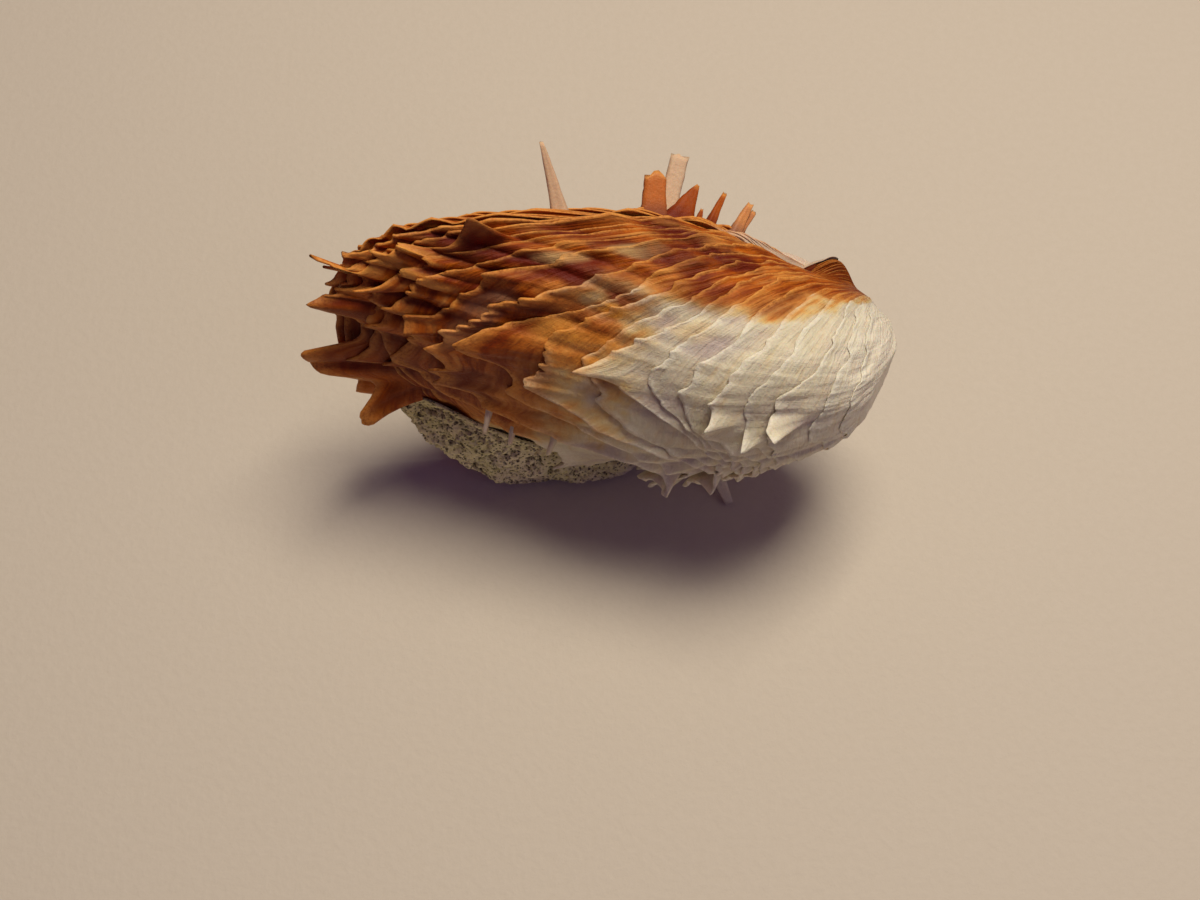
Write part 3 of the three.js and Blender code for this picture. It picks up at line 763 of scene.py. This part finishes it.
class Nodes:
    """Short ways to write a node material."""

    def __init__(self, name):
        self.material = bpy.data.materials.new(name)
        self.material.use_nodes = True
        self.tree = self.material.node_tree
        self.shader = self.tree.nodes["Principled BSDF"]

    def link(self, source, socket):
        if hasattr(source, "links"):
            self.tree.links.new(source, socket)
        else:
            socket.default_value = source

    def mark(self, name):
        node = self.tree.nodes.new("ShaderNodeAttribute")
        node.attribute_name = name
        return node.outputs["Fac"]

    def math(self, kind, a, b=0.5, c=0.5):
        node = self.tree.nodes.new("ShaderNodeMath")
        node.operation = kind
        for value, socket in zip((a, b, c), node.inputs):
            self.link(value, socket)
        return node.outputs[0]

    def times(self, a, b):
        return self.math("MULTIPLY", a, b)

    def plus(self, a, b):
        return self.math("ADD", a, b)

    def minus(self, a, b):
        return self.math("SUBTRACT", a, b)

    def step(self, value, low, high, start=0.0, end=1.0):
        """A smooth change from start to end as the value goes from low to high."""
        node = self.tree.nodes.new("ShaderNodeMapRange")
        node.interpolation_type = "SMOOTHSTEP"
        given = {"Value": value, "From Min": low, "From Max": high, "To Min": start, "To Max": end}
        for key, source in given.items():
            self.link(source, node.inputs[key])
        return node.outputs["Result"]

    def mix(self, amount, a, b, kind="MIX"):
        node = self.tree.nodes.new("ShaderNodeMix")
        node.data_type = "RGBA"
        node.blend_type = kind
        self.link(amount, node.inputs["Factor"])
        self.link(rgba(a), node.inputs["A"])
        self.link(rgba(b), node.inputs["B"])
        return node.outputs["Result"]

    def noise(self, scale, vector=None, detail=3.0, roughness=0.55):
        node = self.tree.nodes.new("ShaderNodeTexNoise")
        node.inputs["Scale"].default_value = scale
        node.inputs["Detail"].default_value = detail
        node.inputs["Roughness"].default_value = roughness
        self.tree.links.new(vector or self.place(), node.inputs["Vector"])
        return node.outputs["Fac"]

    def cells(self, scale):
        node = self.tree.nodes.new("ShaderNodeTexVoronoi")
        node.inputs["Scale"].default_value = scale
        self.tree.links.new(self.place(), node.inputs["Vector"])
        return node.outputs["Distance"]

    def place(self):
        node = self.tree.nodes.new("ShaderNodeTexCoord")
        return node.outputs["Object"]

    def flat(self, x, y):
        """A vector of two numbers, to draw noise that is stretched along the growth lines."""
        node = self.tree.nodes.new("ShaderNodeCombineXYZ")
        self.link(x, node.inputs[0])
        self.link(y, node.inputs[1])
        return node.outputs[0]

    def finish(self, colour, rough_value, height, distance,
               subsurface=0.0, radius=(1, 0.5, 0.3), reach=0.0015):
        self.link(colour, self.shader.inputs["Base Color"])
        self.link(rough_value, self.shader.inputs["Roughness"])
        bump = self.tree.nodes.new("ShaderNodeBump")
        bump.inputs["Distance"].default_value = distance
        self.link(height, bump.inputs["Height"])
        self.tree.links.new(bump.outputs["Normal"], self.shader.inputs["Normal"])
        self.shader.inputs["Subsurface Weight"].default_value = subsurface
        self.shader.inputs["Subsurface Radius"].default_value = radius
        self.shader.inputs["Subsurface Scale"].default_value = reach
        return self.material


def rgba(value):
    return (*value, 1.0) if isinstance(value, tuple) and len(value) == 3 else value


CHALK = (0.80, 0.74, 0.57)
WHITE = (0.64, 0.57, 0.40)
# mauve: painted shade in the hollows of the white shell
SHADE_MAUVE = (0.42, 0.34, 0.33)
CREAM = (0.64, 0.44, 0.18)
PEACH = (0.66, 0.28, 0.06)
ORANGE = (0.45, 0.108, 0.006)
BROWN = (0.19, 0.026, 0.003)
MAROON = (0.11, 0.009, 0.003)
# amber: partly the flaps' own orange, partly painted light shining through them
BACKLIT_AMBER = (0.44, 0.12, 0.003)
GOLD = (0.70, 0.26, 0.03)
BUFF = (0.74, 0.56, 0.42)
PINK = (0.62, 0.44, 0.28)


class ShellColours:
    """The colours of a valve, drawn over its growth stage and place along the loop."""

    def __init__(self, name):
        self.n = n = Nodes(name)
        self.stage, self.place, self.edge = n.mark("stage"), n.mark("place"), n.mark("edge")
        self.lines = n.noise(1.0, self.stretched(130.0, 9.0), 4.0, 0.6)
        self.bands = n.noise(1.0, self.stretched(42.0, 5.0), 3.0, 0.6)
        self.broad = n.noise(1.0, self.stretched(14.0, 9.0), 3.0)
        self.riblets = n.noise(1.0, self.stretched(8.0, 230.0), 2.0)
        self.patches = n.noise(260.0)
        self.lump = n.mark("lump")
        self.fine = n.noise(2200.0, None, 4.0, 0.65)

    def stretched(self, by_stage, by_place):
        n = self.n
        return n.flat(n.times(self.stage, by_stage), n.times(self.place, by_place))

    def age(self, limit, spread):
        """How far past the end of the white young shell a point is, in stages."""
        n = self.n
        shift = n.times(n.minus(self.broad, 0.5), spread)
        wave = n.times(n.minus(self.bands, 0.5), spread * 0.6)
        return n.plus(n.plus(n.minus(self.stage, limit), shift), wave)

    def white(self, umbo):
        """The young shell: one white at the umbo, another further out, painted highlight on the
        crests and painted mauve shade in the hollows.
        """
        n = self.n
        colour = n.mix(n.step(self.stage, 0.25, 0.45), umbo, WHITE)
        colour = n.mix(n.step(self.lines, 0.45, 0.75, 0.0, 0.4), colour, CREAM)
        older = n.step(self.stage, 0.27, 0.4)
        # painted highlight: chalk on the crests of the relief
        colour = n.mix(n.times(older, n.step(self.lump, 0.1, 0.6, 0.0, 0.5)), colour, CHALK)
        # painted shade: mauve at the roots of the lamellae, under the edges above them, and in the
        # low parts of the relief
        hollow = n.math("MAXIMUM", n.step(self.edge, 0.5, 0.05), n.step(self.lump, 0.1, -0.4))
        return n.mix(n.times(hollow, n.times(older, 0.75)), colour, SHADE_MAUVE)

    def warm(self, colour, age):
        """Cream, then peach, then orange-brown as the shell grows older."""
        n = self.n
        warm, deep = n.step(age, -0.08, 0.08), n.step(age, 0.0, 0.16)
        colour = n.mix(n.step(warm, 0.0, 0.6), colour, CREAM)
        colour = n.mix(n.step(warm, 0.4, 1.0), colour, PEACH)
        colour = n.mix(deep, colour, ORANGE)
        lines = n.times(deep, n.step(self.lines, 0.42, 0.62, 0.0, 0.8))
        colour = n.mix(lines, colour, BROWN)
        bands = n.times(deep, n.step(self.bands, 0.5, 0.64, 0.0, 0.75))
        colour = n.mix(bands, colour, BROWN)
        light = n.times(warm, n.step(self.bands, 0.46, 0.34, 0.0, 0.55))
        return n.mix(light, colour, PEACH), warm

    def rays(self, colour, rays, start):
        """Dark rays from stage `start` to the margin: (place, half width, strength) each."""
        n = self.n
        wander = n.plus(self.place, n.times(n.minus(self.patches, 0.5), 0.08))
        ray = 0.0
        for centre, width, strength in rays:
            gap = n.math("ABSOLUTE", n.minus(wander, centre))
            ray = n.math("MAXIMUM", ray, n.step(gap, width, width * 0.2, 0.0, strength))
        ray = n.times(ray, n.step(self.stage, start, start + 0.14))
        ray = n.times(ray, n.step(self.broad, 0.36, 0.54, 0.4, 1.0))
        return n.mix(ray, colour, MAROON)

    def relief_shading_and_pale_edges(self, colour, warm):
        """Painted shade under the overhanging edges and in the hollows, painted highlight on the
        crests, and paler along the edges themselves.
        """
        n = self.n
        # painted highlight: peach on the crests of the relief
        crest = n.times(warm, n.step(self.lump, 0.15, 0.6, 0.0, 0.8))
        colour = n.mix(crest, colour, PEACH)
        # painted shade: maroon at the roots of the lamellae under the overhanging edges, and in the
        # low parts of the relief
        root = n.step(self.edge, 0.55, 0.1, 0.0, 0.85)
        shade = n.math("MAXIMUM", root, n.step(self.lump, 0.05, -0.5, 0.0, 0.75))
        colour = n.mix(n.times(warm, shade), colour, MAROON)
        tip = n.times(n.step(self.edge, 0.82, 1.0), n.step(self.fine, 0.25, 0.6, 0.25, 0.75))
        colour = n.mix(tip, colour, n.mix(warm, CHALK, PEACH))
        return n.mix(n.step(self.fine, 0.3, 0.75, 0.0, 0.2), colour, (0.95, 0.9, 0.8), "OVERLAY")

    def finish(self, colour):
        n = self.n
        gloss = n.step(self.lines, 0.3, 0.7, 0.34, 0.58)
        height = 0.0
        for texture, share in ((self.lines, 0.9), (self.fine, 0.35), (self.riblets, 0.12)):
            height = n.plus(height, n.times(texture, share))
        n.shader.inputs["Specular IOR Level"].default_value = 0.13
        return n.finish(colour, gloss, height, 0.0003, 0.1, (1.0, 0.4, 0.15), 0.0012)


def spot(n, stage, place, at, size):
    """1 in the middle of a patch at (stage, place), fading to 0 at its rim."""
    far = 0.0
    for value, middle, half in zip((stage, place), at, size):
        gap = n.math("DIVIDE", n.minus(value, middle), half)
        far = n.plus(far, n.times(gap, gap))
    return n.step(far, 1.3, 0.1)


LOWER_RAYS = [(-0.28, 0.03, 0.6), (-0.43, 0.06, 0.95), (-0.555, 0.035, 0.9), (-0.655, 0.045, 0.95),
              (-0.74, 0.03, 0.8), (0.5, 0.06, 0.6)]
UPPER_RAYS = [(-0.75 + 0.17 * i, 0.03, 0.7) for i in range(10)]
# Patches of colour: (stage, place), their half size, colour and strength.
LOWER_PATCHES = [
    ((0.92, -0.42), (0.08, 0.08), MAROON, 0.95),
    ((0.82, -0.31), (0.05, 0.05), MAROON, 0.6),
    ((0.96, -0.06), (0.05, 0.07), MAROON, 0.75),
    ((0.90, 0.0), (0.05, 0.06), MAROON, 0.6),
    ((0.68, -0.27), (0.035, 0.04), GOLD, 0.8),
    ((0.66, -0.2), (0.03, 0.03), GOLD, 0.8),
    ((0.83, -0.47), (0.03, 0.04), CREAM, 0.6),
    ((0.81, -0.56), (0.04, 0.03), CREAM, 0.6),
    ((0.62, -0.96), (0.3, 0.09), BROWN, 0.85),
    ((0.66, -0.51), (0.06, 0.06), MAROON, 0.7),
    ((0.77, -0.45), (0.05, 0.05), MAROON, 0.85),
    ((0.77, -0.59), (0.06, 0.05), MAROON, 0.9),
    ((0.87, -0.64), (0.08, 0.05), MAROON, 0.9),
    ((0.74, -0.65), (0.06, 0.05), MAROON, 0.8),
    ((0.86, -0.15), (0.04, 0.06), MAROON, 0.5),
    ((0.72, -0.26), (0.03, 0.05), (0.70, 0.30, 0.05), 0.7),
    ((0.60, -0.42), (0.03, 0.05), (0.72, 0.50, 0.22), 0.5),
    ((0.95, -0.83), (0.16, 0.07), BUFF, 0.95),
    ((0.80, -0.2), (0.025, 0.13), (0.70, 0.40, 0.20), 0.5),
    ((0.70, -0.38), (0.02, 0.025), (0.70, 0.28, 0.03), 0.8),
]


def lower_material():
    c = ShellColours("lower_valve_shell")
    n = c.n
    # the stage where the white of the young shell ends, from the front flank to the underside
    limit = n.step(c.place, -0.44, -0.6, 0.645, 0.42)
    for start, end, more in ((0.06, 0.26, 0.2), (-0.3, -0.42, 0.06), (-0.66, -0.82, -0.12)):
        limit = n.plus(limit, n.step(c.place, start, end, 0.0, more))
    colour, warm = c.warm(c.white(CHALK), c.age(limit, 0.22))
    # the last lamellae round the ventral end are thin and let light through: their amber is partly
    # their own orange and partly painted light shining through from behind
    backlit_flap = n.times(n.step(c.stage, 0.93, 0.96), n.step(c.place, -0.15, 0.0))
    backlit_flap = n.times(backlit_flap, n.step(c.edge, 0.3, 0.9, 0.2, 0.9))
    colour = n.mix(backlit_flap, colour, BACKLIT_AMBER)
    colour = c.rays(colour, LOWER_RAYS, 0.6)
    colour = c.relief_shading_and_pale_edges(colour, warm)
    for at, size, tone, strength in LOWER_PATCHES:
        there = n.times(spot(n, c.stage, c.place, at, size), strength)
        there = n.times(there, n.step(c.edge, 0.75, 1.0, 1.0, 0.6))
        there = n.times(there, n.step(c.patches, 0.3, 0.6, 0.5, 1.0))
        colour = n.mix(there, colour, tone)
    return c.finish(n.mix(n.mark("pale"), colour, n.mix(c.fine, WHITE, CHALK)))


def upper_material():
    c = ShellColours("upper_valve_shell")
    n = c.n
    colour, warm = c.warm(c.white((0.72, 0.55, 0.42)), c.age(0.36, 0.2))
    colour = c.rays(colour, UPPER_RAYS, 0.34)
    near_ear = n.times(n.step(c.place, -0.72, -0.8), n.step(c.stage, 0.6, 0.8))
    colour = n.mix(near_ear, c.relief_shading_and_pale_edges(colour, warm), n.mix(c.bands, BUFF, PINK))
    spine = n.times(n.mark("pale"), n.step(c.fine, 0.2, 0.8, 0.85, 1.0))
    return c.finish(n.mix(spine, colour, PINK))


def coral_material():
    n = Nodes("porous_coral")
    pore, high, crust = n.mark("pore"), n.mark("high"), n.mark("crust")
    patches, fine = n.noise(300.0), n.noise(2500.0, None, 4.0)
    holes, big_holes = n.cells(2100.0), n.cells(1100.0)
    colour = n.mix(n.step(patches, 0.35, 0.65), (0.94, 0.84, 0.46), (0.78, 0.73, 0.30))
    colour = n.mix(n.step(fine, 0.3, 0.7, 0.0, 0.5), colour, (0.94, 0.88, 0.64))
    # painted shade: darker brown on the upper side of the coral, under the overhanging lamella
    colour = n.mix(n.step(high, 0.2, 0.9, 0.0, 0.4), colour, (0.36, 0.25, 0.10))
    # painted shade: the small pores and the bottoms of the deep pores are darkened nearly to black
    colour = n.mix(n.step(holes, 0.36, 0.18, 0.0, 0.7), colour, (0.14, 0.12, 0.055))
    colour = n.mix(n.step(big_holes, 0.36, 0.15, 0.0, 0.6), colour, (0.05, 0.045, 0.025))
    colour = n.mix(n.step(pore, 0.8, 1.3, 0.0, 0.85), colour, (0.05, 0.04, 0.02))
    crusted = n.times(crust, n.step(fine, 0.3, 0.6, 0.6, 0.95))
    colour = n.mix(crusted, colour, (0.66, 0.57, 0.50))
    rust = n.times(n.step(n.mark("ahead"), 0.72, 0.95), n.step(patches, 0.38, 0.55))
    rust = n.times(rust, n.step(crust, 0.4, 0.0))
    colour = n.mix(rust, colour, (0.42, 0.10, 0.03))
    height = n.minus(n.times(fine, 0.6), n.step(holes, 0.4, 0.15))
    n.shader.inputs["Specular IOR Level"].default_value = 0.2
    return n.finish(colour, 0.9, height, 0.0004)


def ligament_material():
    n = Nodes("dried_ligament")
    lines = n.noise(1.0, n.flat(n.times(n.mark("ridge"), 60.0), 0.0))
    fine = n.noise(1500.0)
    colour = n.mix(n.step(lines, 0.35, 0.65), (0.10, 0.045, 0.02), (0.24, 0.10, 0.04))
    return n.finish(colour, n.step(fine, 0.3, 0.7, 0.45, 0.7), fine, 0.0002)


def paper_material():
    n = Nodes("pale_paper")
    fibre, cloud = n.noise(900.0, None, 5.0), n.noise(9.0)
    colour = n.mix(n.step(fibre, 0.3, 0.7, 0.0, 0.3), (0.56, 0.50, 0.395), (0.60, 0.54, 0.435))
    colour = n.mix(n.step(cloud, 0.3, 0.7, 0.0, 0.12), colour, (0.52, 0.46, 0.38))
    return n.finish(colour, 0.85, fibre, 0.0001)


# ------------------------------------------------------------ stage

ELEVATION = math.radians(66)
DISTANCE = 206.0                          # camera to the point it looks at, in mm
LOOK_AT = np.array([0.0, -13.4, -6.0])    # that point, from the shell frame's origin, in mm
LENS, SENSOR = 50.0, 36.0


def make_camera():
    data = bpy.data.cameras.new("camera")
    data.lens, data.sensor_width = LENS, SENSOR
    data.clip_start, data.clip_end = 0.01, 10
    camera = bpy.data.objects.new("camera", data)
    target = Vector((ORIGIN + LOOK_AT) * MM)
    back = Vector((0, -math.cos(ELEVATION), math.sin(ELEVATION)))
    camera.location = target + back * DISTANCE * MM
    camera.rotation_euler = (-back).to_track_quat("-Z", "Y").to_euler()
    bpy.context.scene.collection.objects.link(camera)
    bpy.context.scene.camera = camera


def area_light(name, place, size, power, colour):
    data = bpy.data.lights.new(name, "AREA")
    data.size, data.energy, data.color = size, power, colour
    light = bpy.data.objects.new(name, data)
    light.location = place
    light.rotation_euler = (Vector(LIT_POINT) - Vector(place)).to_track_quat("-Z", "Y").to_euler()
    bpy.context.scene.collection.objects.link(light)


FLOOR_HALF = 0.34
# Lights: place, size in metres, power in watts and colour. The lamp stands behind the shell.
LAMP = ((0.08, 0.09, 0.48), 0.18, 2.4, (1.0, 0.91, 0.78))
WINDOW = ((0.5, -0.3, 0.5), 0.5, 0.35, (0.80, 0.72, 1.0))
LIT_POINT = (0, 0, 0.02)                  # where both lights point
FILL_COLOUR, FILL_STRENGTH = (0.50, 0.26, 0.66, 1), 0.12
WALL_COLOUR = (0.42, 0.37, 0.32, 1)


def make_stage():
    mesh = bpy.data.meshes.new("paper")
    half = FLOOR_HALF
    corners = [(-half, -half, 0), (half, -half, 0), (half, half, 0), (-half, half, 0)]
    mesh.from_pydata(corners, [], [(0, 1, 2, 3)])
    mesh.materials.append(paper_material())
    floor = bpy.data.objects.new("paper", mesh)
    bpy.context.scene.collection.objects.link(floor)
    area_light("lamp", *LAMP)
    area_light("window", *WINDOW)
    world = bpy.data.worlds.new("room")
    world.use_nodes = True
    nodes, links = world.node_tree.nodes, world.node_tree.links
    fill = nodes["Background"]
    fill.inputs["Color"].default_value = FILL_COLOUR
    fill.inputs["Strength"].default_value = FILL_STRENGTH
    # the wall behind is pale where the camera sees it, and lights the shell only dimly
    wall = nodes.new("ShaderNodeBackground")
    wall.inputs["Color"].default_value = WALL_COLOUR
    either, path = nodes.new("ShaderNodeMixShader"), nodes.new("ShaderNodeLightPath")
    links.new(path.outputs["Is Camera Ray"], either.inputs["Fac"])
    links.new(fill.outputs["Background"], either.inputs[1])
    links.new(wall.outputs["Background"], either.inputs[2])
    links.new(either.outputs["Shader"], nodes["World Output"].inputs["Surface"])
    bpy.context.scene.world = world
    bpy.context.scene.view_settings.view_transform = "Standard"


# ------------------------------------------------------------ assembly

make_camera()
make_stage()
lower_valve(lower_material())
upper_valve(upper_material())
coral(coral_material())
ligament(ligament_material())
